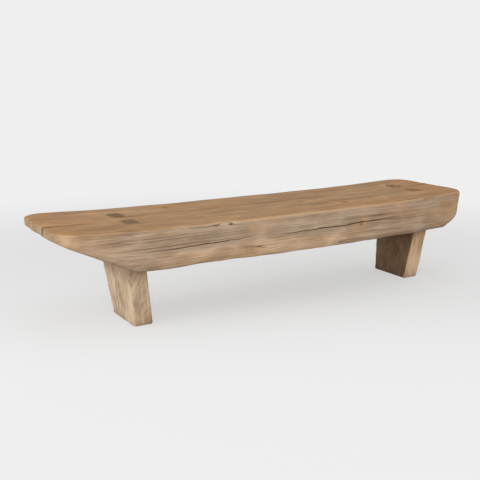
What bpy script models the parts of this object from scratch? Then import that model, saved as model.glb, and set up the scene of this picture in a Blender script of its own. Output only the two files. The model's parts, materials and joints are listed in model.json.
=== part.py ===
"""A low hewn-wood bench: one thick slab seat on two slab legs, held by wedged through tenons.

Metres, +Z up, +X along the seat. The origin is on the floor under the middle of the seat.
"""

import math

import bmesh
import bpy

# Seat: overall sizes, and the rise of its two ends above a level middle
SEAT_LENGTH = 1.80
SEAT_WIDTH = 0.446
SEAT_THICKNESS = 0.156
SEAT_HEIGHT = 0.373
SEAT_BOW = 0.014
LEVEL_LENGTH = 0.36

# Seat: how far each end is thinned from below
LEFT_END_THICKNESS = 0.034
LEFT_TAPER_LENGTH = 0.280
RIGHT_END_THICKNESS = 0.100
RIGHT_TAPER_LENGTH = 0.100

# Seat: rounded corners in plan, worn upper edges, waney lower edges
CORNER_RADIUS = 0.085
TOP_EDGE_RADIUS = 0.012
LOWER_EDGE_RADIUS = 0.040
SIDE_DRAFT = 0.012

# Legs: one slab at each end, narrower at the foot, which stands in towards the middle of the bench
LEFT_LEG_INSET = 0.308
RIGHT_LEG_INSET = 0.162
LEG_TOP_THICKNESS = 0.074
LEG_FOOT_THICKNESS = 0.076
LEG_TOE_IN = 0.031
LEG_TOP_WIDTH = 0.248
LEG_FOOT_WIDTH = 0.198
LEG_EDGE_RADIUS = 0.008

# Joints: a shallow housing for the leg, two through tenons, two wedges in each tenon
HOUSING_DEPTH = 0.016
TENON_THICKNESS = 0.050
TENON_WIDTH = 0.060
TENON_SPACING = 0.54 * LEG_TOP_WIDTH
TENON_PROUD = 0.0015
TENON_ROOT = 0.020
WEDGE_LENGTH = 0.060
WEDGE_HEAD = 0.006
WEDGE_TIP = 0.002
FIT = 0.0003

# How finely the curved stretches are cut
CORNER_STEPS = 6
EDGE_STEPS = 4
TAPER_STEPS = 4
BOW_STEPS = 6
LEG_EDGE_STEPS = 3

# A cutter runs this far past the face that it opens
OVERRUN = 0.010

# Colour as linear red, green and blue, then roughness
SEAT_WOOD = ((0.36, 0.245, 0.150), 0.72)
LEG_WOOD = ((0.39, 0.285, 0.190), 0.75)
WEDGE_WOOD = ((0.20, 0.125, 0.070), 0.70)


def clear_scene():
    for obj in list(bpy.data.objects):
        bpy.data.objects.remove(obj)


def make_collection(name):
    collection = bpy.data.collections.new(name)
    bpy.context.scene.collection.children.link(collection)
    return collection


def make_material(name, look):
    (red, green, blue), roughness = look
    material = bpy.data.materials.new(name)
    material.use_nodes = True
    surface = material.node_tree.nodes["Principled BSDF"]
    surface.inputs["Base Color"].default_value = (red, green, blue, 1.0)
    surface.inputs["Roughness"].default_value = roughness
    surface.inputs["Metallic"].default_value = 0.0
    return material


def add_object(name, bm, collection, parent, location=(0.0, 0.0, 0.0)):
    """Turn a bmesh into a named object that stands at a place in its parent's frame."""
    bmesh.ops.recalc_face_normals(bm, faces=bm.faces)
    mesh = bpy.data.meshes.new(name)
    bm.to_mesh(mesh)
    bm.free()
    obj = bpy.data.objects.new(name, mesh)
    obj.parent = parent
    obj.location = location
    collection.objects.link(obj)
    return obj


def add_empty(name, collection, parent=None, location=(0.0, 0.0, 0.0), turn=0.0):
    empty = bpy.data.objects.new(name, None)
    empty.parent = parent
    empty.location = location
    empty.rotation_euler = (0.0, 0.0, turn)
    collection.objects.link(empty)
    return empty


def add_tool(name, bm, tools, parent, location=(0.0, 0.0, 0.0)):
    """A shape that only cuts or joins: drawn as wire and left out of the finished bench."""
    tool = add_object(name, bm, tools, parent, location)
    tool.hide_render = True
    tool.display_type = "WIRE"
    return tool


def add_boolean(obj, tool, operation):
    modifier = obj.modifiers.new(tool.name, "BOOLEAN")
    modifier.operation = operation
    modifier.object = tool


def tapered_block(lower, upper, bottom, top):
    """A six-sided block between two level rectangles, each (low x, high x, half width in y)."""
    bm = bmesh.new()
    bmesh.ops.create_cube(bm, size=2.0)
    for vert in bm.verts:
        low_x, high_x, half_y = upper if vert.co.z > 0 else lower
        x = high_x if vert.co.x > 0 else low_x
        z = top if vert.co.z > 0 else bottom
        vert.co = (x, half_y * vert.co.y, z)
    return bm


def grown(rectangle, gap):
    low_x, high_x, half_y = rectangle
    return (low_x - gap, high_x + gap, half_y + gap)


# The seat's outline, as heights and widths at a place x along its length

def edge_inset(distance, radius):
    """How far a round edge draws in at a distance from the end it runs into."""
    reach = max(radius - distance, 0.0)
    return radius - math.sqrt(radius * radius - reach * reach)


def seat_top(x):
    past_level = max(abs(x) - LEVEL_LENGTH / 2, 0.0)
    bowed_length = (SEAT_LENGTH - LEVEL_LENGTH) / 2
    return SEAT_HEIGHT + SEAT_BOW * (past_level / bowed_length) ** 2


def seat_thickness(x):
    left = max(1.0 - (SEAT_LENGTH / 2 + x) / LEFT_TAPER_LENGTH, 0.0)
    right = max(1.0 - (SEAT_LENGTH / 2 - x) / RIGHT_TAPER_LENGTH, 0.0)
    left_loss = left * (SEAT_THICKNESS - LEFT_END_THICKNESS)
    right_loss = right * (SEAT_THICKNESS - RIGHT_END_THICKNESS)
    return SEAT_THICKNESS - left_loss - right_loss


def seat_underside(x):
    return seat_top(x) - seat_thickness(x)


def seat_stations():
    """Places along the seat where its section is drawn, from the left end to the right end."""
    half = SEAT_LENGTH / 2
    places = {-half, half}
    for step in range(1, CORNER_STEPS + 1):
        distance = CORNER_RADIUS * (1.0 - math.cos(math.radians(90) * step / CORNER_STEPS))
        places |= {-half + distance, half - distance}
    for side, taper in ((-1, LEFT_TAPER_LENGTH), (1, RIGHT_TAPER_LENGTH)):
        for step in range(1, TAPER_STEPS + 1):
            distance = CORNER_RADIUS + (taper - CORNER_RADIUS) * step / TAPER_STEPS
            places.add(side * (half - distance))
        for step in range(BOW_STEPS):
            start = LEVEL_LENGTH / 2
            places.add(side * (start + (half - taper - start) * step / BOW_STEPS))
    return sorted(places)


def seat_section(x):
    """The points once round the seat's cross-section at x, from the back top edge down and round."""
    from_end = SEAT_LENGTH / 2 - abs(x)
    half = SEAT_WIDTH / 2 - edge_inset(from_end, CORNER_RADIUS)
    top = seat_top(x) - edge_inset(from_end, TOP_EDGE_RADIUS)
    low = seat_underside(x) + edge_inset(from_end, TOP_EDGE_RADIUS)
    wall = (top - low) / 2
    upper = min(TOP_EDGE_RADIUS, wall)
    lower = min(LOWER_EDGE_RADIUS, wall)
    foot = half - SIDE_DRAFT
    turns = [math.radians(90) * step / EDGE_STEPS for step in range(EDGE_STEPS + 1)]
    side = [(half - upper + upper * math.sin(t), top - upper + upper * math.cos(t)) for t in turns]
    side += [(foot - lower + lower * math.cos(t), low + lower - lower * math.sin(t)) for t in turns]
    return [(x, y, z) for y, z in side] + [(x, -y, z) for y, z in reversed(side)]


def seat_shape():
    """The seat before its joints are cut: its sections skinned from end to end."""
    bm = bmesh.new()
    rings = [[bm.verts.new(point) for point in seat_section(x)] for x in seat_stations()]
    for ring, following in zip(rings, rings[1:]):
        for i in range(len(ring)):
            before = i - 1
            bm.faces.new((ring[before], ring[i], following[i], following[before]))
    bm.faces.new(rings[0])
    bm.faces.new(rings[-1])
    return bm


# The leg's sizes, in a frame on the floor under its tenons, with its inner face towards +X

def leg_top_rectangle():
    return (-LEG_TOP_THICKNESS / 2, LEG_TOP_THICKNESS / 2, LEG_TOP_WIDTH / 2)


def leg_foot_rectangle():
    inner = LEG_TOP_THICKNESS / 2 + LEG_TOE_IN
    return (inner - LEG_FOOT_THICKNESS, inner, LEG_FOOT_WIDTH / 2)


def tenon_rectangle():
    return (-TENON_THICKNESS / 2, TENON_THICKNESS / 2, TENON_WIDTH / 2)


def leg_slab(neck, shoulder):
    """The leg: tapered up to its neck, then straight up to its shoulder, with its long edges eased."""
    bm = tapered_block(leg_foot_rectangle(), leg_top_rectangle(), 0.0, neck)
    top = max(bm.faces, key=lambda face: face.calc_center_median().z)
    raised = bmesh.ops.extrude_face_region(bm, geom=[top])["geom"]
    for vert in (item for item in raised if isinstance(item, bmesh.types.BMVert)):
        vert.co.z = shoulder
    bm.faces.remove(top)
    level = [edge for edge in bm.edges if edge.verts[0].co.z == edge.verts[1].co.z]
    eased = [edge for edge in bm.edges if edge not in level or edge.verts[0].co.z == 0.0]
    bmesh.ops.bevel(
        bm, geom=eased, offset=LEG_EDGE_RADIUS, segments=LEG_EDGE_STEPS, profile=0.5, affect="EDGES"
    )
    return bm


def wedge_shape(gap, above):
    """One wedge hanging point down from its head at z = 0, or the slot that it is driven into."""
    slope = (WEDGE_HEAD - WEDGE_TIP) / 2 / WEDGE_LENGTH
    half_tip = WEDGE_TIP / 2 + gap
    half_head = WEDGE_HEAD / 2 + gap + slope * above
    half_width = TENON_WIDTH / 2 + above
    lower = (-half_tip, half_tip, half_width)
    upper = (-half_head, half_head, half_width)
    return tapered_block(lower, upper, -WEDGE_LENGTH - gap, above)


def add_leg(name, x, turn, bench, parts, tools, woods):
    """One leg with its tenons and wedges, and the tools that cut its seat in the slab."""
    leg_wood, wedge_wood = woods
    neck = seat_underside(x)
    shoulder = neck + HOUSING_DEPTH
    tenon_top = seat_top(x) + TENON_PROUD
    frame = add_empty(name + "_frame", parts, bench, (x, 0.0, 0.0), turn)
    leg = add_object(name + "_leg", leg_slab(neck, shoulder), parts, frame)
    leg.data.materials.append(leg_wood)

    mouth = grown(leg_top_rectangle(), FIT)
    housing = tapered_block(mouth, mouth, neck - OVERRUN, shoulder + FIT)
    seat_cutters = [add_tool(name + "_housing", housing, tools, frame)]
    mortise = grown(tenon_rectangle(), FIT)
    facing = math.cos(turn)
    for place, y in (("front", -TENON_SPACING / 2), ("back", TENON_SPACING / 2)):
        at = (0.0, facing * y, 0.0)
        label = name + "_" + place
        tenon = tapered_block(
            tenon_rectangle(), tenon_rectangle(), shoulder - TENON_ROOT, tenon_top
        )
        add_boolean(leg, add_tool(label + "_tenon", tenon, tools, frame, at), "UNION")
        hole = tapered_block(mortise, mortise, shoulder - OVERRUN, tenon_top + OVERRUN)
        seat_cutters.append(add_tool(label + "_mortise", hole, tools, frame, at))
        for side, offset in (("outer", -TENON_THICKNESS / 6), ("inner", TENON_THICKNESS / 6)):
            head = (offset, facing * y, tenon_top)
            slot = add_tool(
                label + "_" + side + "_slot", wedge_shape(FIT, OVERRUN), tools, frame, head
            )
            add_boolean(leg, slot, "DIFFERENCE")
            wedge = add_object(
                label + "_" + side + "_wedge", wedge_shape(0.0, 0.0), parts, frame, head
            )
            wedge.data.materials.append(wedge_wood)
    return seat_cutters


def main():
    clear_scene()
    parts = make_collection("hewn_bench")
    tools = make_collection("joinery_tools")
    bench = add_empty("bench", parts)
    woods = (make_material("leg wood", LEG_WOOD), make_material("wedge wood", WEDGE_WOOD))

    seat = add_object("seat_slab", seat_shape(), parts, bench)
    seat.data.materials.append(make_material("seat wood", SEAT_WOOD))
    left = -SEAT_LENGTH / 2 + LEFT_LEG_INSET
    right = SEAT_LENGTH / 2 - RIGHT_LEG_INSET
    cutters = add_leg("left", left, 0.0, bench, parts, tools, woods)
    cutters += add_leg("right", right, math.pi, bench, parts, tools, woods)
    for cutter in cutters:
        add_boolean(seat, cutter, "DIFFERENCE")


main()
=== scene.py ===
# %% [markdown]
# # A hewn slab bench, piece by piece
# The bench is a thick plank hewn from one trunk, standing on two stout blocks of wood. Each block
# has two tenons that come up through the plank, and two wedges in each tenon hold it there. This
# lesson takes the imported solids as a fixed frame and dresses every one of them: first the shapes,
# then the woods, then the light. The box of the bare solids is kept from the start, because the
# dressed bench may not outgrow it.

# %% Load the frame
import json
import math
import bpy
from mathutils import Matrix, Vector


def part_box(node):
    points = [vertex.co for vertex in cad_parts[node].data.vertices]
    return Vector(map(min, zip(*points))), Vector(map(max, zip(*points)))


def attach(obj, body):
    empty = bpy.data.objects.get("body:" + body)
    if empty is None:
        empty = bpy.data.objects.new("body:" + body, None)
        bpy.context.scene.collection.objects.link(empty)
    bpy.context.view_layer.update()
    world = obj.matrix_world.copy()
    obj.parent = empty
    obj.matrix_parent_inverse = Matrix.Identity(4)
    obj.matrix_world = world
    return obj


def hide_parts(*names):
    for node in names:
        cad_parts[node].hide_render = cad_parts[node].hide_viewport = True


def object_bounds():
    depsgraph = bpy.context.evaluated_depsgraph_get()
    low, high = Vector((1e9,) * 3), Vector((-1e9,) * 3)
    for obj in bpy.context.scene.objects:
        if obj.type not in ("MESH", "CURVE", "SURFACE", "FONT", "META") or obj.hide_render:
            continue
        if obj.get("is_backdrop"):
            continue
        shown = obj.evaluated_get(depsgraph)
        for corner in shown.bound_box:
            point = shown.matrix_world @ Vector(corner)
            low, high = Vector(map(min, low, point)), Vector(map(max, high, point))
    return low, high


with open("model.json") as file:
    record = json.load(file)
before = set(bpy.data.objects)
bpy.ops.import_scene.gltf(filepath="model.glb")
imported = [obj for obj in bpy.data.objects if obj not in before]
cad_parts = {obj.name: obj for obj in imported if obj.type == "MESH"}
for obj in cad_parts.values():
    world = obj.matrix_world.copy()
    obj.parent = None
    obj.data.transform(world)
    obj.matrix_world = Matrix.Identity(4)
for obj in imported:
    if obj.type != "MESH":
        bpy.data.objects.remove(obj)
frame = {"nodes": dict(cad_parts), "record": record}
cad_low, cad_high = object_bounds()
print("solids:", sorted(frame["nodes"]))
print("box of the solids in mm:", [round(1000 * side) for side in cad_high - cad_low])

# %% [markdown]
# ## Sizes
# The frame already knows where everything is, so the large sizes are read from it: the seat's from
# its box, and the height of the sitting face from the record's mount. What a box can't tell, such
# as the plank's thickness or its thinned ends, is written here once, in metres, and used by every
# later step.

# %% Sizes read from the frame, and the few that it can't tell
seat_low, seat_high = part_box("seat_slab")
mounts = {mount["name"]: mount["pos_m"] for mount in frame["record"]["mounts"]}
SEAT_LENGTH = seat_high.x - seat_low.x
SEAT_WIDTH = seat_high.y - seat_low.y
SEAT_HEIGHT = mounts["seat_face"][2]
SEAT_BOW = seat_high.z - SEAT_HEIGHT
SEAT_THICKNESS = 0.156
LEVEL_LENGTH = 0.36
LEFT_END_THICKNESS = 0.034
LEFT_TAPER_LENGTH = 0.280
RIGHT_END_THICKNESS = 0.100
RIGHT_TAPER_LENGTH = 0.100
SIDE_DRAFT = 0.012


def seat_top(x):
    """Height of the sitting face, level in the middle and bowed up towards both ends."""
    past = max(abs(x) - LEVEL_LENGTH / 2, 0.0)
    return SEAT_HEIGHT + SEAT_BOW * (past / ((SEAT_LENGTH - LEVEL_LENGTH) / 2)) ** 2


def seat_thickness(x):
    """Thickness of the plank, thinned from below towards both ends."""
    left = max(1 - (SEAT_LENGTH / 2 + x) / LEFT_TAPER_LENGTH, 0.0)
    right = max(1 - (SEAT_LENGTH / 2 - x) / RIGHT_TAPER_LENGTH, 0.0)
    thinned = left * (SEAT_THICKNESS - LEFT_END_THICKNESS) + right * (SEAT_THICKNESS - RIGHT_END_THICKNESS)
    return SEAT_THICKNESS - thinned


print("seat in mm:", round(1000 * SEAT_LENGTH), "long,", round(1000 * SEAT_WIDTH), "wide, bowed",
      round(1000 * SEAT_BOW))

# %% [markdown]
# ## Writing nodes as sums
# Both the shapes and the woods come from node trees. Placing every Math node by hand would bury the
# idea, so one small class stands for a node's output. Adding, multiplying or raising such wires
# adds the Math nodes, and its method `node` adds any other node: the type, then the settings, then
# the sockets.

# %% A wire that adds its own nodes


def pick(sockets, key):
    """A socket by its number, or the first one in use with that name."""
    if isinstance(key, int):
        return sockets[key]
    return next(socket for socket in sockets if socket.name == key and socket.enabled)


class Wire:
    """The output of a node. Sums, products and powers of wires add Math nodes to their tree."""

    def __init__(self, tree, socket=None):
        self.tree = tree
        self.socket = socket

    def node(self, kind, settings=None, sockets=None, out=0):
        """Adds a node: its settings first, then the values or links of its sockets."""
        made = self.tree.nodes.new(kind)
        for name, value in (settings or {}).items():
            if name == "stops":
                for index, (place, colour) in enumerate(value):
                    ramp = made.color_ramp.elements
                    stop = ramp[index] if index < 2 else ramp.new(place)
                    stop.position = place
                    stop.color = colour
            else:
                setattr(made, name, value)
        for key, value in (sockets or {}).items():
            target = pick(made.inputs, key)
            if isinstance(value, Wire):
                self.tree.links.new(value.socket, target)
            else:
                target.default_value = value
        return Wire(self.tree, pick(made.outputs, out) if len(made.outputs) else None)

    def out(self, key):
        """Another output of the same node."""
        return Wire(self.tree, pick(self.socket.node.outputs, key))

    def math(self, operation, *values):
        return self.node("ShaderNodeMath", {"operation": operation}, dict(enumerate(values)))

    def __add__(self, other):
        return self.math("ADD", self, other)

    def __sub__(self, other):
        return self.math("SUBTRACT", self, other)

    def __rsub__(self, other):
        return self.math("SUBTRACT", other, self)

    def __mul__(self, other):
        return self.math("MULTIPLY", self, other)

    def __truediv__(self, other):
        return self.math("DIVIDE", self, other)

    def __rtruediv__(self, other):
        return self.math("DIVIDE", other, self)

    def __pow__(self, power):
        return self.math("POWER", self, power)

    def __neg__(self):
        return self.math("MULTIPLY", self, -1.0)

    def __abs__(self):
        return self.math("ABSOLUTE", self)

    def at_least(self, other):
        return self.math("MAXIMUM", self, other)

    def at_most(self, other):
        return self.math("MINIMUM", self, other)

    def rise(self, low, high):
        """Climbs smoothly from 0 at low to 1 at high."""
        limits = {"Value": self, "From Min": low, "From Max": high}
        return self.node("ShaderNodeMapRange", {"interpolation_type": "SMOOTHSTEP"}, limits)

    def vector(self, operation, other):
        """Vector Math on this vector and another."""
        return self.node("ShaderNodeVectorMath", {"operation": operation}, {0: self, 1: other})

    def xyz(self):
        """The three parts of a vector."""
        parts = self.node("ShaderNodeSeparateXYZ", sockets={0: self})
        return parts, parts.out(1), parts.out(2)

    def joined(self, x, y, z):
        """A vector from three parts."""
        return self.node("ShaderNodeCombineXYZ", sockets={0: x, 1: y, 2: z})

    def noise(self, detail=2.0, out="Fac"):
        """Noise read at this vector, already in the noise's own units."""
        sockets = {"Vector": self, "Scale": 1.0, "Detail": detail, "Roughness": 0.55}
        return self.node("ShaderNodeTexNoise", sockets=sockets, out=out)

    __radd__ = __add__
    __rmul__ = __mul__


print("a wire adds Math nodes for + - * / ** and abs")

# %% [markdown]
# ## Starting, feeding and settling a tree
# Every Geometry Nodes tree here takes a mesh and a few named sizes and hands a mesh back.
# `new_tree` lays out those sockets, `shape_with` puts a tree on a piece and sets the sizes by the
# sockets' identifiers, and `settle` turns the result into a plain mesh, because the finished model
# keeps no live modifiers.

# %% Helpers for Geometry Nodes
SOCKET_KINDS = {int: "NodeSocketInt", float: "NodeSocketFloat", tuple: "NodeSocketVector"}


def new_tree(name, sizes):
    """An empty tree, a wire for each of its named sizes, and the wire of the mesh that comes in."""
    tree = bpy.data.node_groups.new(name, "GeometryNodeTree")
    tree.interface.new_socket("Mesh", in_out="INPUT", socket_type="NodeSocketGeometry")
    for label, value in sizes.items():
        socket = tree.interface.new_socket(label, in_out="INPUT", socket_type=SOCKET_KINDS[type(value)])
        socket.default_value = value
    tree.interface.new_socket("Material", in_out="INPUT", socket_type="NodeSocketMaterial")
    tree.interface.new_socket("Mesh", in_out="OUTPUT", socket_type="NodeSocketGeometry")
    mesh = Wire(tree).node("NodeGroupInput")
    return tree, {label: mesh.out(label) for label in sizes}, mesh


def end_tree(mesh, start):
    """Ends a tree: instances made real, shaded smooth, and the material set."""
    real = mesh.node("GeometryNodeRealizeInstances", sockets={0: mesh})
    smooth = mesh.node("GeometryNodeSetShadeSmooth", sockets={"Geometry": real})
    named = mesh.node("GeometryNodeSetMaterial", sockets={
        "Geometry": smooth, "Material": start.out("Material")})
    mesh.node("NodeGroupOutput", sockets={0: named})


def shape_with(piece, tree, sizes, material):
    """Puts a tree on a piece and sets its sizes by their sockets' identifiers."""
    modifier = piece.modifiers.new(tree.name, "NODES")
    modifier.node_group = tree
    for socket in tree.interface.items_tree:
        if socket.in_out == "INPUT" and socket.name in sizes:
            modifier[socket.identifier] = sizes[socket.name]
        if socket.in_out == "INPUT" and socket.name == "Material":
            modifier[socket.identifier] = material


def settle(piece):
    """Swaps a piece's modifiers for the plain mesh that they make."""
    graph = bpy.context.evaluated_depsgraph_get()
    mesh = bpy.data.meshes.new_from_object(piece.evaluated_get(graph), preserve_all_data_layers=True,
                                           depsgraph=graph)
    piece.modifiers.clear()
    piece.data = mesh


def new_piece(name):
    """An empty mesh object in the scene."""
    piece = bpy.data.objects.new(name, bpy.data.meshes.new(name))
    bpy.context.scene.collection.objects.link(piece)
    return piece


print("trees end in Realize Instances and Set Material")

# %% [markdown]
# ## The eased block
# Every piece of the bench starts as a squared block whose corners and edges have been worn round. A
# bevel would give few faces and no points to hew, so the block is a fine lattice instead. Each
# lattice point near a corner is drawn in from a square onto a quarter circle: once in plan for the
# corners, once for the upper and lower edges.

# %% The tree of the eased block
BLOCK_SIZES = {
    "Length": 1.0, "Width": 1.0, "Height": 1.0, "Corner": 0.1, "Upper edge": 0.01,
    "Lower edge": 0.01, "Along": 10, "Across": 10, "Up": 10}
NOT_ZERO = 1e-6
block_tree, size, start = new_tree("eased block", BLOCK_SIZES)
extent = start.joined(size["Length"], size["Width"], size["Height"])
lattice = start.node("GeometryNodeMeshCube", sockets={
    "Size": extent, "Vertices X": size["Along"], "Vertices Y": size["Across"], "Vertices Z": size["Up"]})
x, y, z = start.node("GeometryNodeInputPosition").xyz()


def inner(value, half):
    """The nearest place inside the core, whose half length is given."""
    return value.at_most(half).at_least(-half)


def pull(inward, depth, radius):
    """How far a point near a square edge moves in and down to lie on the edge's quarter circle."""
    near_side = (radius - inward).at_least(0.0)
    near_top = (radius - depth).at_least(0.0)
    squares = near_side * near_side + near_top * near_top
    slant = squares.math("SQRT", squares)
    share = near_side.at_least(near_top) / slant.at_least(NOT_ZERO)
    return near_side * (1 - share), near_top * (1 - share)


core_x = inner(x, size["Length"] / 2 - size["Corner"])
core_y = inner(y, size["Width"] / 2 - size["Corner"])
out_x, out_y = x - core_x, y - core_y
reach = abs(out_x).at_least(abs(out_y))
span = (out_x * out_x + out_y * out_y) ** 0.5
inward = size["Corner"] - reach
upper_in, upper_down = pull(inward, size["Height"] / 2 - z, size["Upper edge"])
lower_in, lower_up = pull(inward, size["Height"] / 2 + z, size["Lower edge"])
kept = (reach - upper_in - lower_in) / span.at_least(NOT_ZERO)
eased = start.joined(core_x + out_x * kept, core_y + out_y * kept, z - upper_down + lower_up)
block = start.node("GeometryNodeSetPosition", sockets={"Geometry": lattice, "Position": eased})
end_tree(block, start)
print("eased block:", len(block_tree.nodes), "nodes")

# %% [markdown]
# ## The plank's own line
# A plank from a bent trunk is level where people sit and lifts a little towards its ends. Its
# underside is cut away towards the tips, much further on the left than on the right. The tree bends
# and thins the eased block by that rule, leans the sides in, lets the edges wander as a hand-hewn
# edge does, and wears a shallow hollow along the middle of the top. A second shallow hollow under
# one stretch of the plank, which the hewer took a little deeper, keeps the lower edge from being
# straight.

# %% The tree of the plank
PLANK_SIZES = {
    "Length": 1.0, "Width": 1.0, "Height": 1.0, "Top": 1.0, "Bow": 0.0, "Level": 0.1,
    "Left end": 0.1, "Left taper": 0.1, "Right end": 0.1, "Right taper": 0.1, "Draft": 0.0,
    "Wander": 0.0, "Hollow": 0.0, "Hewn under": 0.0, "Hewn middle": 0.0, "Hewn reach": 1.0,
    "Seed": 0.0}
plank_tree, size, start = new_tree("plank", PLANK_SIZES)
x, y, z = start.node("GeometryNodeInputPosition").xyz()
past = (abs(x) - size["Level"] / 2).at_least(0.0)
top = size["Top"] + size["Bow"] * (past / ((size["Length"] - size["Level"]) / 2)) ** 2
left_share = 1 - (size["Length"] / 2 + x) / size["Left taper"]
thin_left = left_share.math("SMOOTH_MAX", left_share, 0.0, 0.12)
thin_right = (1 - (size["Length"] / 2 - x) / size["Right taper"]).at_least(0.0)
thick = size["Height"] - thin_left * (size["Height"] - size["Left end"])
thick = thick - thin_right * (size["Height"] - size["Right end"])
off_hewn = abs(x - size["Hewn middle"]) / size["Hewn reach"]
thick = thick - size["Hewn under"] * (1 - off_hewn.rise(0.0, 1.0))
down = 0.5 - z / size["Height"]
out_share = abs(y) / (size["Width"] / 2)
side = y.math("SIGN", y)
edge_noise = start.joined(x * 2.6 + size["Seed"], side * 5.0, down * 0.8).noise(2.0) - 0.5
wandered = y * (1 - size["Draft"] * down) + side * out_share ** 3 * edge_noise * size["Wander"] * 2
worn = size["Hollow"] * (1 - out_share * out_share) * (1 - down) * (1 - (x / (size["Length"] / 2)) ** 2)
placed = start.joined(x, wandered, top - down * thick - worn)
plank = start.node("GeometryNodeSetPosition", sockets={"Geometry": start, "Position": placed})
end_tree(plank, start)
print("plank:", len(plank_tree.nodes), "nodes")

# %% [markdown]
# ## The marks of the adze
# The wood was dressed with an adze, so its faces are covered with shallow scoops that meet in low
# ridges. A bump texture would vanish at the outline, so the scoops are real. A cell pattern
# stretched to the size of one blow gives each point its distance from the middle of its scoop, and
# the square of it is the depth. Sitting has worn the top nearly flat, long swells run along the
# faces, and knocks have taken bites out of the edges. The share of each scoop is stored as an
# attribute, so that the finish can rub the ridges pale and leave dirt in the hollows.

# %% The tree of the hewn face
HEWN_SIZES = {
    "Blow": (0.1, 0.1, 0.1), "Depth": 0.002, "Worn share": 0.3, "Swell": 0.003,
    "Swell size": (0.3, 0.1, 0.1), "Bite": 0.004, "Keep below": -1.0, "Keep above": 9.0,
    "Seed": 0.0}
hewn_tree, size, start = new_tree("hewn face", HEWN_SIZES)
place = start.node("GeometryNodeInputPosition")
normal = start.node("GeometryNodeInputNormal")
up = normal.xyz()[2]
height = place.xyz()[2]
shift = start.joined(size["Seed"], size["Seed"] * 1.7, size["Seed"] * 2.3)
jitter = place.vector("MULTIPLY", (9.0, 9.0, 9.0)).noise(1.0, "Color")
jitter = jitter.vector("SUBTRACT", (0.5, 0.5, 0.5)).vector("MULTIPLY", (0.9, 0.9, 0.9))
cells = place.vector("DIVIDE", size["Blow"]).vector("ADD", shift).vector("ADD", jitter)
off_middle = start.node("ShaderNodeTexVoronoi", sockets={
    "Vector": cells, "Scale": 1.0, "Randomness": 0.9})
scoop = off_middle ** 2
share = 1 - up.rise(0.55, 0.92) * (1 - size["Worn share"])
swell = place.vector("DIVIDE", size["Swell size"]).vector("ADD", shift).noise(2.0) - 0.5
knock = place.vector("MULTIPLY", (16.0, 24.0, 24.0)).vector("ADD", shift).noise(1.0)
edge = up.rise(0.15, 0.45) * (1 - up.rise(0.8, 0.97))
bite = (knock - 0.52).at_least(0.0) * 4 * edge * size["Bite"]
keep = height.rise(size["Keep below"], size["Keep below"] + 0.02)
keep = keep * (1 - height.rise(size["Keep above"] - 0.03, size["Keep above"]))
move = ((scoop - 0.3) * size["Depth"] * share + swell * size["Swell"] * 2 - bite) * keep
offset = normal.vector("MULTIPLY", start.joined(move, move, move))
marked = start.node("GeometryNodeStoreNamedAttribute", {"data_type": "FLOAT", "domain": "POINT"}, {
    "Geometry": start, "Name": "ridge", "Value": scoop * share})
hewn = start.node("GeometryNodeSetPosition", sockets={"Geometry": marked, "Offset": offset})
end_tree(hewn, start)
print("hewn face:", len(hewn_tree.nodes), "nodes")

# %% [markdown]
# ## Drying checks
# As a thick plank dries it splits along the grain: long narrow checks on its faces and deeper ones
# running in from the ends. Each is a thin lens-shaped knife that is cut out of the plank. A curve
# wanders along the grain, a lozenge is swept along it, and its scale falls to nothing where the
# check closes.

# %% The tree of a drying check
CHECK_SIZES = {
    "From": (0.0, 0.0, 0.0), "To": (1.0, 0.0, 0.0), "Wide": 0.004, "Tall": 0.04,
    "Open": 0.0, "Wander": (0.0, 0.01, 0.0), "Seed": 0.0}
CHECK_POINTS = 40
check_tree, size, start = new_tree("drying check", CHECK_SIZES)
line = start.node("GeometryNodeCurvePrimitiveLine", sockets={"Start": size["From"], "End": size["To"]})
line = start.node("GeometryNodeResampleCurve", sockets={"Curve": line, "Count": CHECK_POINTS})
gone = start.node("GeometryNodeSplineParameter")
sway = start.joined(gone * 5 + size["Seed"], size["Seed"], 0.0).noise(3.0) - 0.5
moved = size["Wander"].vector("MULTIPLY", start.joined(sway, sway, sway))
line = start.node("GeometryNodeSetPosition", sockets={"Geometry": line, "Offset": moved})
line = start.node("GeometryNodeSetCurveNormal", {"mode": "Z_UP"}, {"Curve": line})
lozenge = start.node("GeometryNodeCurvePrimitiveQuadrilateral", {"mode": "KITE"}, {
    "Width": size["Wide"], "Bottom Height": size["Tall"] / 2, "Top Height": size["Tall"] / 2})
half_turn = gone * math.pi
closed = half_turn.math("SINE", half_turn).at_least(0.0) ** 0.7
opened = (1 - gone).at_least(0.0) ** 0.6
ragged = start.joined(gone * 14 + size["Seed"], 3.0, 0.0).noise(2.0) + 0.5
width = (closed + (opened - closed) * size["Open"]) * ragged
knife = start.node("GeometryNodeCurveToMesh", sockets={
    "Curve": line, "Profile Curve": lozenge, "Scale": width.at_least(0.03), "Fill Caps": True})
end_tree(knife, start)
print("drying check:", len(check_tree.nodes), "nodes")

# %% [markdown]
# ## Wood from the inside out
# The seat, the legs and the wedges are dry, hand-worn timber. A wood is not a picture laid on a
# face: the year rings are shells round the pith, and every face cuts through them. So the recipe
# works in the space of the block. Its first part measures the distance from the pith for the rings,
# and stretches noise along the grain for the broad bands of colour, the streaks, the fibres and the
# pores.

# %% Rings, streaks and fibres


def blend(share, low, high, mode="MIX"):
    """Mixes two colours, each a wire or a plain colour."""
    wire = next(value for value in (share, low, high) if isinstance(value, Wire))
    colours = {0: share, 6: low, 7: high}
    return wire.node("ShaderNodeMix", {"data_type": "RGBA", "blend_type": mode}, colours, 2)


def stretched(place, along, across):
    """The place in a pattern with so many repeats to the metre along and across the grain."""
    return place.vector("MULTIPLY", (along, across, across))


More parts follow.
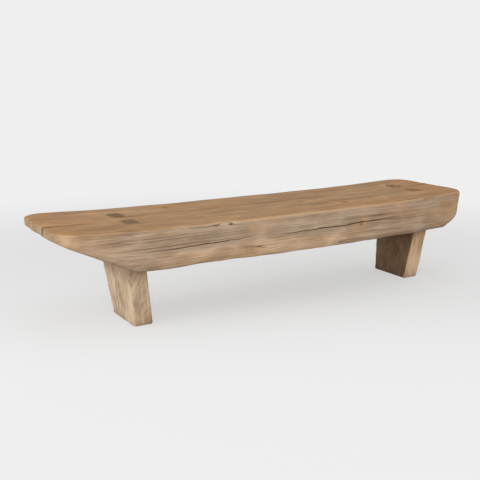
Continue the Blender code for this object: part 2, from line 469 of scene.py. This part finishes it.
def from_pith(grain, pith):
    """The place across the grain, measured from a pith that bends along the trunk."""
    bend = stretched(grain, 1.3, 3.0).noise(2.0, "Color").vector("SUBTRACT", (0.5, 0.5, 0.5))
    bent = grain.vector("ADD", bend.vector("MULTIPLY", (0.0, 0.07, 0.07)))
    side, depth = bent.xyz()[1:]
    return side - pith[0], depth - pith[1]


def late_wood(grain, side, depth, ring):
    """The dark late wood that ends each year ring, from 0 to 1."""
    radius = (side * side + depth * depth) ** 0.5
    year = radius / ring + stretched(grain, 2.0, 30.0).noise(1.0) * 0.7
    return year.math("FRACT", year) ** 2.5


print("rings are shells round the pith")

# %% [markdown]
# ## Knots
# Where a branch grew, the fibres part and flow round it. A knot is therefore not only a dark spot:
# the place from which the grain is read is pushed aside near the branch, and the streaks bend by
# themselves. Each branch runs from the pith outwards, so a knot shows on one face and not on the
# opposite one.

# %% Knots that push the grain aside
FAR_OFF = 9.0


def part_round(place, branches):
    """The place with its fibres parted round the branches, and how many radii off the nearest is."""
    ragged = (place.vector("MULTIPLY", (90.0, 90.0, 90.0)).noise(1.0) - 0.5) * 0.6
    parted = place
    nearest = ragged + FAR_OFF
    for root, towards, radius in branches:
        offset = place.vector("SUBTRACT", root)
        reach = offset.vector("DOT_PRODUCT", towards).out("Value")
        aside = offset.vector("SUBTRACT", place.joined(reach, reach, reach).vector("MULTIPLY", towards))
        away = aside.vector("LENGTH", (0.0, 0.0, 0.0)).out("Value") / radius + ragged
        beyond = reach.rise(0.0, 0.05)
        fall = away * away * -0.3
        push = fall.math("EXPONENT", fall) * beyond / away.at_least(0.2)
        parted = parted.vector("SUBTRACT", aside.vector("MULTIPLY", place.joined(push, push, push)))
        nearest = nearest.at_most(away + (1 - beyond) * FAR_OFF)
    return parted, nearest


print("fibres part round a knot")

# %% [markdown]
# ## Hairline checks
# Between the open checks the wood is crazed with fine ones that a knife could never cut. They are
# drawn as the level lines of a noise that is stretched far along the grain. On the end grain they
# run out from the pith like spokes instead.

# %% Hairlines


def hairlines(grain, side, depth, end, turned):
    """Fine cracks, along the grain on the faces and as spokes on the ends, from 0 to 1."""
    level = abs(stretched(grain, 0.6, 44.0).noise(0.0) - 0.5)
    where = stretched(grain, 2.5, 16.0).noise(2.0).rise(0.46, 0.60)
    along = (1 - level.rise(0.002, 0.011)) * where * (1 - turned)
    angle = side.math("ARCTAN2", side, depth) * 7 + stretched(grain, 3.0, 18.0).noise(1.0) * 0.5
    spoke = 1 - abs(angle.math("FRACT", angle) - 0.5).rise(0.008, 0.04)
    return along.at_least(spoke * end * 0.65)


print("hairlines follow the grain, or run out from the pith on the ends")

# %% [markdown]
# ## Four woods from one recipe
# Colour comes last. Old wood is silvered where the weather reached it, warm where hands and clothes
# have rubbed it, pale on worn edges and on the ridges between the adze marks, and dark in hollows.
# Faces that look down or towards the middle of the bench get painted shade. Every one of these is a
# share that blends one more colour of the palette in. The last of them is a band of stain and painted
# light, which begins a way off one height and is full further off. On the seat it is painted light,
# a pale band along the lower edge as if lit from the floor. On the legs it darkens the foot, and up
# under the seat it is painted shade.

# %% The recipe for hewn wood
WEATHER_TINT = (0.95, 1.00, 1.09, 1)
HAND_TINT = (1.12, 0.97, 0.75, 1)
# the band of stain and painted light: how ragged its edge is, and how much of its tint goes in
STAIN_AND_LIGHT_RAGGED = 0.08
STAIN_AND_LIGHT_SHARE = 0.75


def hewn_wood(name, turn, slide, branches, stain_heights, stain_places, colours, pith, ring):
    """A dry, hand-worn wood whose grain runs along X once the place has been slid and turned."""
    material = bpy.data.materials.new(name)
    material.use_nodes = True
    material.node_tree.nodes.clear()
    paint = Wire(material.node_tree)
    spot = paint.node("ShaderNodeTexCoord", out="Object")
    facing = paint.node("ShaderNodeNewGeometry", out="Normal")
    grain = paint.node("ShaderNodeMapping", sockets={
        "Vector": spot, "Location": slide, "Rotation": turn})
    turned = paint.node("ShaderNodeMapping", {"vector_type": "VECTOR"}, {
        "Vector": facing, "Rotation": turn})
    along = turned.xyz()[0]
    outward = facing.xyz()[0]
    up = facing.xyz()[2]
    length_place = spot.xyz()[0]
    height = spot.xyz()[2]
    end = abs(along).rise(0.55, 0.85)
    deep, middle, pale = colours["deep"], colours["middle"], colours["pale"]
    black = (deep[0] * 0.28, deep[1] * 0.26, deep[2] * 0.24, 1.0)

    # the fibres, parted round the knots
    parted, away = part_round(grain, branches)
    side, depth = from_pith(parted, pith)
    late = late_wood(parted, side, depth, ring)
    fibre = stretched(parted, 4.0, 300.0).noise(3.0)
    streak = stretched(parted, 1.6, 70.0).noise(3.0)
    band = stretched(parted, 1.1, 9.0).noise(3.0)
    pore = stretched(parted, 22.0, 620.0).noise(1.0).rise(0.60, 0.72)
    tone = band * 0.70 + streak * 0.85 + fibre * 0.75 - late * 0.16 - 0.53
    stops = [(0.26, deep), (0.56, middle), (0.84, pale)]
    colour = paint.node("ShaderNodeValToRGB", {"stops": stops}, {"Fac": tone})
    colour = blend(pore * (1 - end) * 0.35, colour, deep)

    # silvered patches where the weather reached, warmer ones where hands did and near knots and tips
    silver = spot.vector("MULTIPLY", (1.7, 6.0, 6.0)).noise(3.0).rise(0.42, 0.68)
    colour = blend(silver * 0.35, colour, colours["weathered"])
    patch = spot.vector("MULTIPLY", (3.1, 7.0, 9.0)).vector("ADD", (4.2, 1.0, 0.4)).noise(2.0)
    colour = blend(patch.rise(0.52, 0.72) * 0.5, colour, colours["warm"])
    tip = (abs(length_place) + patch * 0.2).rise(0.74, 0.98)
    colour = blend((1 - away.rise(1.0, 8.0)).at_least(tip) * 0.60, colour, colours["warm"])

    # ridges between the scoops and worn edges rubbed pale, hollows left darker
    ridge = paint.node("ShaderNodeAttribute", {"attribute_name": "ridge"}, out="Fac")
    colour = blend(ridge.rise(0.25, 0.7) * 0.40, colour, pale)
    colour = blend((1 - ridge.rise(0.02, 0.22)) * 0.30, colour, deep)
    worn_edge = up.rise(0.12, 0.45) * (1 - up.rise(0.70, 0.97)) * (streak + fibre - 0.3)
    colour = blend(worn_edge * 0.55, colour, pale)

    # end grain, knots and hairlines
    colour = blend(end * (0.38 + late * 0.40), colour, deep)
    growth = away * 4.5
    core = (1 - away.rise(0.75, 1.05)) * (0.15 + growth.math("FRACT", growth) * 0.45)
    rim = away.rise(0.70, 0.98) * (1 - away.rise(1.0, 1.45))
    colour = blend(core.at_least(rim * 0.6), colour, black)
    crack = hairlines(parted, side, depth, end, abs(along).rise(0.10, 0.40))
    colour = blend(crack * 0.85, colour, black)

    # hands have warmed the top, and the weather has greyed the sides
    handled = (up * 0.75 + patch * 0.5).rise(0.50, 1.0)
    colour = blend(1.0, colour, blend(handled, WEATHER_TINT, HAND_TINT), "MULTIPLY")

    # painted shade on downward and inward faces, a band of stain and painted light, raw walls of open
    # checks
    towards_middle = -outward * length_place.math("SIGN", length_place)
    # painted shade: faces that look down, or towards the middle of the bench, are darkened by the shade
    # tint
    painted_shade = towards_middle.at_least(-up).rise(0.70, 1.0) * (1 - end)
    colour = blend(painted_shade * 0.85, colour, colours["shade"], "MULTIPLY")
    # band: painted light on the seat's lower edge; on the legs a darker foot and painted shade under the
    # seat
    unmarked_height, unmarked_near, unmarked_far = stain_heights
    off_height = abs(height + (streak + band - 1) * STAIN_AND_LIGHT_RAGGED - unmarked_height)
    stain_middle, stain_near, stain_far = stain_places
    off_middle = abs(length_place - stain_middle)
    stained = off_height.rise(unmarked_near, unmarked_far) * (1 - off_middle.rise(stain_near, stain_far))
    colour = blend(stained * STAIN_AND_LIGHT_SHARE, colour, colours["stain"], "MULTIPLY")
    split = paint.node("ShaderNodeAttribute", {"attribute_name": "check"}, out="Fac")
    colour = blend(split * 0.9, colour, black)

    relief = fibre * 0.45 + streak * 0.40 - late * 0.35 - pore * 0.25 - crack * 1.3
    bump = paint.node("ShaderNodeBump", sockets={"Strength": 0.6, "Distance": 0.0016, "Height": relief})
    rough = 0.86 - up.rise(0.5, 0.9) * 0.16 - ridge * 0.10 + fibre * 0.08
    shader = paint.node("ShaderNodeBsdfPrincipled", sockets={
        "Base Color": colour, "Roughness": rough, "Normal": bump, "Specular IOR Level": 0.3})
    paint.node("ShaderNodeOutputMaterial", sockets={"Surface": shader})
    return material


print("one recipe for every wood of the bench")

# %% [markdown]
# ## The palette of each wood
# Deep, middle and pale are the wood's own tones. Weathered and warm are blended in by patches, and
# shade and the last tint multiply what is there: shade is painted shade, and the last tint is the band
# of stain and painted light. The two legs are offcuts of different trees, the right one warmer and
# with a deeper painted shade on its inward faces, and the wedges are of a darker and harder wood.

# %% The palettes


def palette(**colours):
    """The named colours of one wood, each with an alpha of 1."""
    return {name: (*colour, 1.0) for name, colour in colours.items()}


# the seat's last tint is painted light: it makes the lower edge paler
SEAT_COLOURS = palette(
    deep=(0.20, 0.122, 0.066), middle=(0.385, 0.252, 0.148), pale=(0.53, 0.375, 0.240),
    weathered=(0.42, 0.305, 0.205), warm=(0.46, 0.262, 0.122),
    shade=(0.42, 0.37, 0.33), stain=(1.58, 1.46, 1.31))
LEFT_COLOURS = palette(
    deep=(0.23, 0.155, 0.090), middle=(0.50, 0.345, 0.203), pale=(0.69, 0.503, 0.322),
    weathered=(0.47, 0.380, 0.275), warm=(0.46, 0.290, 0.155),
    shade=(0.26, 0.20, 0.16), stain=(0.46, 0.41, 0.36))
# the right leg's shade tint is deeper: more painted shade on its inward faces
RIGHT_COLOURS = palette(
    deep=(0.29, 0.175, 0.088), middle=(0.62, 0.395, 0.210), pale=(0.78, 0.540, 0.325),
    weathered=(0.57, 0.425, 0.285), warm=(0.59, 0.345, 0.158),
    shade=(0.21, 0.155, 0.108), stain=(0.56, 0.51, 0.46))
WEDGE_COLOURS = palette(
    deep=(0.14, 0.084, 0.046), middle=(0.29, 0.180, 0.100), pale=(0.42, 0.280, 0.168),
    weathered=(0.33, 0.230, 0.150), warm=(0.34, 0.185, 0.085),
    shade=(0.42, 0.37, 0.33), stain=(0.72, 0.66, 0.60))
print("colours in a palette:", ", ".join(SEAT_COLOURS))

# %% [markdown]
# ## The woods themselves
# The recipe reads the grain along X, so it is turned upright for the legs and the wedges. On the
# seat the pattern is slid down a little instead, to a stretch of it that suits the plank, and the
# pith lies below the underside, because the plank was split from one side of the trunk. Each branch
# is given by its root, its direction and its radius in the space of the grain. The band of stain and
# painted light has two rules: a height that it leaves unmarked, with how far off it the band begins
# and is full, and the middle of the marked stretch along the bench, with how far off it the band
# fades and ends.

# %% The woods
LENGTHWISE = (0.0, 0.0, 0.0)
UPRIGHT = (0.0, math.pi / 2, 0.0)
SEAT_SLIDE = (0.0, 0.0, -0.013)
NO_SLIDE = (0.0, 0.0, 0.0)
SEAT_BRANCHES = [
    ((0.28, 0.03, 0.12), (0.12, -0.52, 0.846), 0.013),
    ((-0.33, 0.04, 0.12), (-0.10, 0.39, 0.915), 0.010),
    ((0.30, 0.0, 0.20), (0.10, -0.92, 0.38), 0.008),
    ((-0.10, 0.0, 0.20), (0.15, 0.94, 0.31), 0.014)]
LEG_BRANCHES = [((-0.09, 0.02, 0.40), (0.10, -0.20, -0.975), 0.008)]
# painted bounce light: the seat's band makes its lower edge paler, as if lit from the floor
PAINTED_BOUNCE_HEIGHTS = (0.400, 0.100, 0.166)
PAINTED_BOUNCE_PLACES = (-0.11, 0.29, 0.50)
# the legs' band darkens the foot and, as painted shade, the top up under the seat; the wedges take it all
# over
DARK_FOOT_AND_SHADE_HEIGHTS = (0.095, 0.055, 0.115)
EVERYWHERE = (0.0, 8.0, 9.0)
seat_wood = hewn_wood("seat wood", LENGTHWISE, SEAT_SLIDE, SEAT_BRANCHES, PAINTED_BOUNCE_HEIGHTS,
                      PAINTED_BOUNCE_PLACES, SEAT_COLOURS, pith=(0.04, 0.10), ring=0.0075)
left_wood = hewn_wood("left leg wood", UPRIGHT, NO_SLIDE, LEG_BRANCHES, DARK_FOOT_AND_SHADE_HEIGHTS,
                      EVERYWHERE, LEFT_COLOURS, pith=(0.02, 0.55), ring=0.0065)
right_wood = hewn_wood("right leg wood", UPRIGHT, NO_SLIDE, LEG_BRANCHES, DARK_FOOT_AND_SHADE_HEIGHTS,
                       EVERYWHERE, RIGHT_COLOURS, pith=(0.02, 0.55), ring=0.0065)
wedge_wood = hewn_wood("wedge wood", UPRIGHT, NO_SLIDE, LEG_BRANCHES, DARK_FOOT_AND_SHADE_HEIGHTS,
                       EVERYWHERE, WEDGE_COLOURS, pith=(0.3, 0.3), ring=0.004)
leg_woods = {"left": left_wood, "right": right_wood}
split_wood = bpy.data.materials.new("split wood")
print("woods:", [material.name for material in (seat_wood, left_wood, right_wood, wedge_wood)])

# %% [markdown]
# ## Cutting one piece out of another
# Joints and checks are cut with Boolean modifiers. The knife carries its own material, so after the
# cut the new walls can be told from the old skin: they are marked in a face attribute, which
# darkens them, and then take the piece's own wood.

# %% Cut and mark
SHARP_FROM = math.radians(38)


def cut(piece, knives, operation="DIFFERENCE"):
    """Cuts knives out of a piece, or joins them to it, and removes them."""
    for knife in knives:
        modifier = piece.modifiers.new(knife.name, "BOOLEAN")
        modifier.operation = operation
        modifier.solver = "MANIFOLD"
        modifier.material_mode = "TRANSFER"
        modifier.object = knife
    settle(piece)
    for knife in knives:
        bpy.data.objects.remove(knife)


def mark_checks(piece, wood):
    """Marks the faces that a check's knife left, then gives the whole piece its wood."""
    mesh = piece.data
    names = [material.name if material else "" for material in mesh.materials]
    marks = mesh.attributes.new("check", "FLOAT", "FACE")
    for face, mark in zip(mesh.polygons, marks.data):
        mark.value = 1.0 if names[face.material_index] == split_wood.name else 0.0
        face.material_index = 0
    mesh.materials.clear()
    mesh.materials.append(wood)
    mesh.set_sharp_from_angle(angle=SHARP_FROM)
    return sum(mark.value > 0.5 for mark in marks.data)


def eased_block(name, low, high, corner, edge, step, material):
    """An eased block between two corners, with its lattice about one step fine."""
    piece = new_piece(name)
    sides = [top - bottom for bottom, top in zip(low, high)]
    counts = [max(int(side / step), 2) + 1 for side in sides]
    shape_with(piece, block_tree, {
        "Length": sides[0], "Width": sides[1], "Height": sides[2], "Corner": corner, "Upper edge": edge,
        "Lower edge": edge, "Along": counts[0], "Across": counts[1], "Up": counts[2]}, material)
    settle(piece)
    centre = Vector([(bottom + top) / 2 for bottom, top in zip(low, high)])
    for vertex in piece.data.vertices:
        vertex.co += centre
    return piece


print("ready to cut")

# %% [markdown]
# ## The seat
# The seat is the eased block, bent to the plank's line, hewn, and then checked by drying.

# %% The seat's shape
seat = new_piece("hewn_seat")
shape_with(seat, block_tree, {
    "Length": SEAT_LENGTH, "Width": SEAT_WIDTH, "Height": SEAT_THICKNESS, "Corner": 0.085,
    "Upper edge": 0.014, "Lower edge": 0.042, "Along": 321, "Across": 85, "Up": 33}, seat_wood)
shape_with(seat, plank_tree, {
    "Length": SEAT_LENGTH, "Width": SEAT_WIDTH, "Height": SEAT_THICKNESS, "Top": SEAT_HEIGHT,
    "Bow": SEAT_BOW, "Level": LEVEL_LENGTH,
    "Left end": LEFT_END_THICKNESS, "Left taper": LEFT_TAPER_LENGTH,
    "Right end": RIGHT_END_THICKNESS, "Right taper": RIGHT_TAPER_LENGTH,
    "Draft": SIDE_DRAFT / (SEAT_WIDTH / 2), "Wander": 0.006, "Hollow": 0.003,
    "Hewn under": 0.004, "Hewn middle": -0.26, "Hewn reach": 0.28, "Seed": 3.0}, seat_wood)
shape_with(seat, hewn_tree, {
    "Blow": (0.105, 0.052, 0.050), "Depth": 0.0045, "Worn share": 0.30, "Swell": 0.0022,
    "Swell size": (0.34, 0.11, 0.11), "Bite": 0.0045, "Seed": 5.0}, seat_wood)
settle(seat)
print("seat:", len(seat.data.polygons), "faces")

# %% [markdown]
# ## The seat's drying checks
# Four checks lie in the top and close at both tips. Four more come in from the ends, where the wood
# dried fastest, and are widest there. All of these stand on edge, so their lozenge is tall and
# narrow. The checks in the two long sides lie flat instead, so their lozenge is wide and low, and
# their heights are measured down from the sitting face.

KNIFE_SINK = 0.002
PAST_END = 0.01
half_width = SEAT_WIDTH / 2
half_length = SEAT_LENGTH / 2
left_end = -half_length - PAST_END
right_end = half_length + PAST_END
CHECKS = {
    "top_long": ((-0.38, 0.035), (0.44, 0.062), 0.0050, 0.060, 0.0),
    "top_back": ((0.10, 0.150), (0.62, 0.138), 0.0036, 0.040, 0.0),
    "top_front": ((-0.50, -0.120), (-0.02, -0.105), 0.0034, 0.036, 0.0),
    "top_right": ((0.26, -0.060), (0.60, -0.075), 0.0030, 0.030, 0.0),
    "left_end_front": ((left_end, -0.060), (-0.705, -0.045), 0.0090, 0.090, 1.0),
    "left_end_back": ((left_end, 0.085), (-0.76, 0.080), 0.0060, 0.070, 1.0),
    "right_end_middle": ((right_end, 0.020), (0.79, 0.028), 0.0080, 0.110, 1.0),
    "right_end_front": ((right_end, -0.110), (0.815, -0.105), 0.0050, 0.080, 1.0),
}
knives = []
for number, (name, (begin, finish, wide, tall, opened)) in enumerate(CHECKS.items()):
    knife = new_piece(name)
    shape_with(knife, check_tree, {
        "From": (*begin, seat_top(begin[0]) - KNIFE_SINK),
        "To": (*finish, seat_top(finish[0]) - KNIFE_SINK),
        "Wide": wide, "Tall": tall, "Open": opened, "Wander": (0.0, 0.022, 0.0),
        "Seed": 2.0 + number}, split_wood)
    settle(knife)
    knives.append(knife)
print("drying checks in the top and the ends:", len(knives))

FACE_CHECKS = {
    "front_long": (-half_width + 0.003, (-0.06, 0.074), (0.52, 0.064), 0.0042, 0.050),
    "front_left": (-half_width + 0.004, (-0.60, 0.078), (-0.18, 0.068), 0.0030, 0.044),
    "back_long": (half_width - 0.004, (-0.20, 0.080), (0.55, 0.070), 0.0040, 0.046),
}
for number, (name, (y_face, begin, finish, tall, wide)) in enumerate(FACE_CHECKS.items()):
    knife = new_piece(name)
    shape_with(knife, check_tree, {
        "From": (begin[0], y_face, SEAT_HEIGHT - begin[1]),
        "To": (finish[0], y_face, SEAT_HEIGHT - finish[1]), "Wide": wide, "Tall": tall,
        "Open": 0.0, "Wander": (0.0, 0.0, 0.016), "Seed": 31.0 + number}, split_wood)
    settle(knife)
    knives.append(knife)
print("drying checks in all:", len(knives))

# %% [markdown]
# ## The legs
# A leg is a stout block, narrower at the foot, which also stands in a little towards the middle of
# the bench. Its neck sits in a shallow housing under the plank and two tenons rise from there. The
# block is hewn between foot and neck only, so the foot stays flat and the neck keeps its fit.

# %% The tree of a leg's taper
LEG_SIZES = {
    "Inner face": 0.05, "Toe in": 0.0, "Neck": 0.2, "Foot thickness": 0.5, "Foot width": 0.5,
    "Middle": 0.0}
leg_tree, size, start = new_tree("leg taper", LEG_SIZES)
x, y, z = start.node("GeometryNodeInputPosition").xyz()
risen = (z / size["Neck"]).at_most(1.0)
thin = size["Foot thickness"] + (1 - size["Foot thickness"]) * risen
slim = size["Foot width"] + (1 - size["Foot width"]) * risen
inner_face = size["Middle"] + size["Inner face"]
leaned = inner_face + size["Toe in"] * (1 - risen) - (inner_face - x) * thin
leg_place = start.joined(leaned, y * slim, z)
tapered = start.node("GeometryNodeSetPosition", sockets={"Geometry": start, "Position": leg_place})
end_tree(tapered, start)
print("leg taper:", len(leg_tree.nodes), "nodes")

# %% A leg's block
LEG_THICKNESS = 0.074
FOOT_THICKNESS = 0.076
FOOT_WIDTH = 0.198
TOE_IN = 0.031
HOUSING_DEPTH = 0.016
LEG_SEED = 11.0


def hewn_leg(side, inner_side, middle, width, neck, wood):
    """The leg's block from foot to shoulder, tapered, and hewn between foot and neck."""
    low = (middle - LEG_THICKNESS / 2, -width / 2, 0.0)
    high = (middle + LEG_THICKNESS / 2, width / 2, neck + HOUSING_DEPTH)
    leg = eased_block(side + "_hewn_leg", low, high, corner=0.012, edge=0.006, step=0.004,
                      material=wood)
    shape_with(leg, leg_tree, {
        "Inner face": inner_side * LEG_THICKNESS / 2, "Toe in": inner_side * TOE_IN, "Neck": neck,
        "Middle": middle, "Foot thickness": FOOT_THICKNESS / LEG_THICKNESS,
        "Foot width": FOOT_WIDTH / width}, wood)
    shape_with(leg, hewn_tree, {
        "Blow": (0.046, 0.046, 0.085), "Depth": 0.0045, "Worn share": 1.0, "Swell": 0.0015,
        "Swell size": (0.10, 0.10, 0.20), "Bite": 0.0, "Keep below": 0.004,
        "Keep above": neck + 0.004, "Seed": LEG_SEED + inner_side}, wood)
    settle(leg)
    return leg


print("a leg is", round(1000 * LEG_THICKNESS), "mm thick at its neck")

# %% [markdown]
# ## Housings, tenons and wedges
# What goes into a joint and the hole for it come from the same box, and the hole is grown by a gap
# all round. The housing and the mortises are knives for the seat, the tenons are joined to the leg,
# and each tenon's head is slotted for two wedges. A wedge is an eased block that thins towards its
# tip.

# %% The joints' pieces and knives
TENON_THICKNESS = 0.050
TENON_WIDTH = 0.060
TENON_SPACING_SHARE = 0.54
TENON_PROUD = 0.0015
TENON_ROOT = 0.020
ABOVE_SEAT = 0.03
HOUSING_FROM = 0.1
JOINT_GAP = 0.0006
SLOT_GAP = 0.0004
WEDGE_TIP_SHARE = 1 / 3


def grown(low, high, gap):
    """A box with a gap added all round."""
    return [value - gap for value in low], [value + gap for value in high]


def housing_knife(side, middle, width, shoulder):
    """The knife that lets a leg's neck into the underside of the seat."""
    low = (middle - LEG_THICKNESS / 2, -width / 2, HOUSING_FROM)
    high = (middle + LEG_THICKNESS / 2, width / 2, shoulder)
    return eased_block(side + "_housing", *grown(low, high, JOINT_GAP), corner=0.011, edge=0.005,
                       step=0.010, material=seat_wood)


def mortise_and_tenon(side, middle, y_tenon, shoulder, tenon_top, wood):
    """The knife of a mortise right through the seat, and the tenon that fills it."""
    low = (middle - TENON_THICKNESS / 2, y_tenon - TENON_WIDTH / 2, shoulder - TENON_ROOT)
    high = (middle + TENON_THICKNESS / 2, y_tenon + TENON_WIDTH / 2, tenon_top)
    through = (*high[:2], tenon_top + ABOVE_SEAT)
    mortise = eased_block(side + "_mortise", *grown(low, through, JOINT_GAP), corner=0.003,
                          edge=0.001, step=0.010, material=seat_wood)
    tenon = eased_block(side + "_tenon", low, high, corner=0.003, edge=0.002, step=0.004,
                        material=wood)
    return mortise, tenon


def wedge_blank(name, node, gap, material):
    """A wedge, thin at its tip, with a gap added all round."""
    low, high = grown(*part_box(node), gap)
    piece = eased_block(name, low, high, corner=0.0008, edge=0.0006, step=0.003, material=material)
    middle = (low[0] + high[0]) / 2
    for vertex in piece.data.vertices:
        risen = (vertex.co.z - low[2]) / (high[2] - low[2])
        kept_share = WEDGE_TIP_SHARE + (1 - WEDGE_TIP_SHARE) * risen
        vertex.co.x = middle + (vertex.co.x - middle) * kept_share
    return piece


print("a tenon is", round(1000 * TENON_THICKNESS), "by", round(1000 * TENON_WIDTH), "mm")

# %% The legs, their joints and their wedges
legs = {}
wedges = {}
wedge_nodes = [node for node in frame["nodes"] if node.endswith("_wedge")]
for side, inner_side in (("left", 1), ("right", -1)):
    leg_wood = leg_woods[side]
    side_wedges = [node for node in wedge_nodes if node.startswith(side)]
    heads = [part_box(node) for node in side_wedges]
    middle = (min(low.x for low, high in heads) + max(high.x for low, high in heads)) / 2
    leg_low, leg_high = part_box(side + "_leg")
    width = leg_high.y - leg_low.y
    neck = seat_top(middle) - seat_thickness(middle)
    shoulder = neck + HOUSING_DEPTH
    tenon_top = seat_top(middle) + TENON_PROUD
    leg = hewn_leg(side, inner_side, middle, width, neck, leg_wood)
    knives.append(housing_knife(side, middle, width, shoulder))
    tenons = []
    for y_tenon in (-TENON_SPACING_SHARE * width / 2, TENON_SPACING_SHARE * width / 2):
        mortise, tenon = mortise_and_tenon(side, middle, y_tenon, shoulder, tenon_top, leg_wood)
        knives.append(mortise)
        tenons.append(tenon)
    cut(leg, tenons, "UNION")
    slots = []
    for node in side_wedges:
        slots.append(wedge_blank(node + "_slot", node, SLOT_GAP, leg_wood))
        wedges[node] = wedge_blank("hewn_" + node, node, 0.0, wedge_wood)
    cut(leg, slots)
    legs[side] = leg
    print(side, "leg:", len(leg.data.polygons), "faces, neck at", round(1000 * neck), "mm")

# %% [markdown]
# ## Handing the pieces to the frame
# Each piece now stands in for one solid, which is hidden, and rides on the only body.

# %% Finish and hand over
cut(seat, knives)
print("check walls marked on the seat:", mark_checks(seat, seat_wood))
for side, leg in legs.items():
    mark_checks(leg, leg_woods[side])
for wedge in wedges.values():
    mark_checks(wedge, wedge_wood)


def hand_over(piece, node):
    """Puts a piece on the only body and hides the solid that it replaces."""
    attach(piece, "root")
    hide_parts(node)


hand_over(seat, "seat_slab")
for side, leg in legs.items():
    hand_over(leg, side + "_leg")
for node, wedge in wedges.items():
    hand_over(wedge, node)
print("pieces:", 1 + len(legs) + len(wedges))

# %% [markdown]
# ## The floor
# The bench stands on a plain pale floor. Looked at, the floor is mostly the pale of the background,
# with part of its real shading left in near the bench as a soft shadow. That part clears away with
# the distance, and sooner towards the front and the far left, so no horizon shows. Light that
# bounces sees only the real, matt floor.

# %% The floor's sheet
FLOOR_REACH = 30.0
FLOOR_CORNERS = ((-1, -1), (1, -1), (1, 1), (-1, 1))
floor_mesh = bpy.data.meshes.new("floor")
floor_points = [(FLOOR_REACH * across, FLOOR_REACH * back, 0.0) for across, back in FLOOR_CORNERS]
floor_mesh.from_pydata(floor_points, [], [(0, 1, 2, 3)])
floor = bpy.data.objects.new("floor", floor_mesh)
bpy.context.scene.collection.objects.link(floor)
floor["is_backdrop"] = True
print("floor:", 2 * FLOOR_REACH, "m square")

# %% The floor's paint
PALE = (0.865, 0.865, 0.865, 1.0)
SHADOW_VEIL = 0.58
FRONT_LEFT = (-0.496, -0.869, 0.0)


def looked_at(paint):
    """1 where the camera, a mirror or glass looks, and 0 where light only bounces."""
    path = paint.node("ShaderNodeLightPath")
    return path.at_least(path.out("Is Glossy Ray")).at_least(path.out("Is Transmission Ray"))


floor_paint = bpy.data.materials.new("pale floor")
floor_paint.use_nodes = True
floor_paint.node_tree.nodes.clear()
paint = Wire(floor_paint.node_tree)
place = paint.node("ShaderNodeTexCoord", out="Object")
mottle = place.vector("MULTIPLY", (3.0, 3.0, 3.0)).noise(3.0)
tint = blend(mottle, (0.745, 0.745, 0.74, 1.0), (0.775, 0.775, 0.77, 1.0))
matt = paint.node("ShaderNodeBsdfPrincipled", sockets={
    "Base Color": tint, "Roughness": 0.9, "Specular IOR Level": 0.1})
glow = paint.node("ShaderNodeEmission", sockets={"Color": PALE})
far = place.vector("LENGTH", (0.0, 0.0, 0.0)).out("Value")
ahead = place.vector("DOT_PRODUCT", FRONT_LEFT).out("Value")
far_left = (-place.xyz()[0]).rise(1.2, 1.8)
cleared = far.rise(1.2, 2.9).at_least(ahead.rise(0.0, 0.9) * 0.7).at_least(far_left)
veil = SHADOW_VEIL + (1 - SHADOW_VEIL) * cleared
faded = paint.node("ShaderNodeMixShader", sockets={0: veil * looked_at(paint), 1: matt, 2: glow})
paint.node("ShaderNodeOutputMaterial", sockets={"Surface": faded})
floor_mesh.materials.append(floor_paint)
print("floor paint:", len(floor_paint.node_tree.nodes), "nodes")

# %% [markdown]
# ## Light
# The light is plain and soft. A wide lamp stands to the front left as a window would, one hangs
# overhead, and a white sky fills the rest. Three reflectors lift what would be too dark: a low one
# on the left for the outer side of the left leg, one in front for the hewn side of the seat, and
# one to the right for the far leg.

# %% The sky and the lamps
SKY_STRENGTH = 0.60
# place, aim, width in metres and power in watts
LAMPS = {
    "left window": ((-2.6, -2.0, 1.8), (0.0, 0.0, 0.2), 2.0, 11.0),
    "low reflector": ((-2.9, -0.15, 0.62), (-0.65, 0.0, 0.12), 1.0, 27.0),
    "front reflector": ((-1.5, -3.2, 0.95), (0.0, 0.0, 0.2), 1.5, 31.0),
    "right fill": ((1.0, -3.2, 1.2), (0.1, 0.0, 0.2), 2.0, 12.0),
    "ceiling": ((0.0, -0.4, 3.4), (0.0, 0.0, 0.2), 3.0, 14.0),
}
world = bpy.data.worlds.new("studio")
world.use_nodes = True
world.node_tree.nodes.clear()
sky = Wire(world.node_tree)
soft = sky.node("ShaderNodeBackground", sockets={"Color": (1.0, 1.0, 1.0, 1.0), "Strength": SKY_STRENGTH})
plain = sky.node("ShaderNodeBackground", sockets={"Color": PALE})
both = sky.node("ShaderNodeMixShader", sockets={0: looked_at(sky), 1: soft, 2: plain})
sky.node("ShaderNodeOutputWorld", sockets={"Surface": both})
bpy.context.scene.world = world


def aimed(name, data, place, aim):
    """A lamp or a camera at a place, turned to its aim."""
    stand = bpy.data.objects.new(name, data)
    stand.location = place
    sight = Vector(aim) - stand.location
    stand.rotation_euler = sight.to_track_quat("-Z", "Y").to_euler()
    bpy.context.scene.collection.objects.link(stand)
    return stand


for name, (place, aim, width, watts) in LAMPS.items():
    lamp = bpy.data.lights.new(name, "AREA")
    lamp.size = width
    lamp.energy = watts
    aimed(name, lamp, place, aim)
bpy.context.scene.view_settings.view_transform = "Standard"
print("lamps:", ", ".join(LAMPS))

# %% [markdown]
# ## The camera
# The camera stands where the photograph's did, to the left of the bench and a little above it. Its
# place, its aim and its lens come from fitting the bench to the photograph.

# %% The camera
CAMERA_PLACE = (-1.6305, -2.5661, 0.9151)
CAMERA_AIM = (-0.0714, 0.0533, 0.2277)
camera = bpy.data.cameras.new("camera")
camera.lens = 58.68
camera.sensor_width = 36.0
bpy.context.scene.camera = aimed("camera", camera, CAMERA_PLACE, CAMERA_AIM)
print("camera", round((Vector(CAMERA_AIM) - Vector(CAMERA_PLACE)).length, 2), "m away")

# %% [markdown]
# ## The box, once more
# Dressing may add a little to the solids, but the bench must keep its size. So how far the dressed
# bench reaches past the box of the bare solids is printed at the end.

# %% Check the box and finish
seen_low, seen_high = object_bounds()
growth = (*(cad_low - seen_low), *(seen_high - cad_high))
print("grown in mm:", [round(1000 * value, 1) for value in growth])
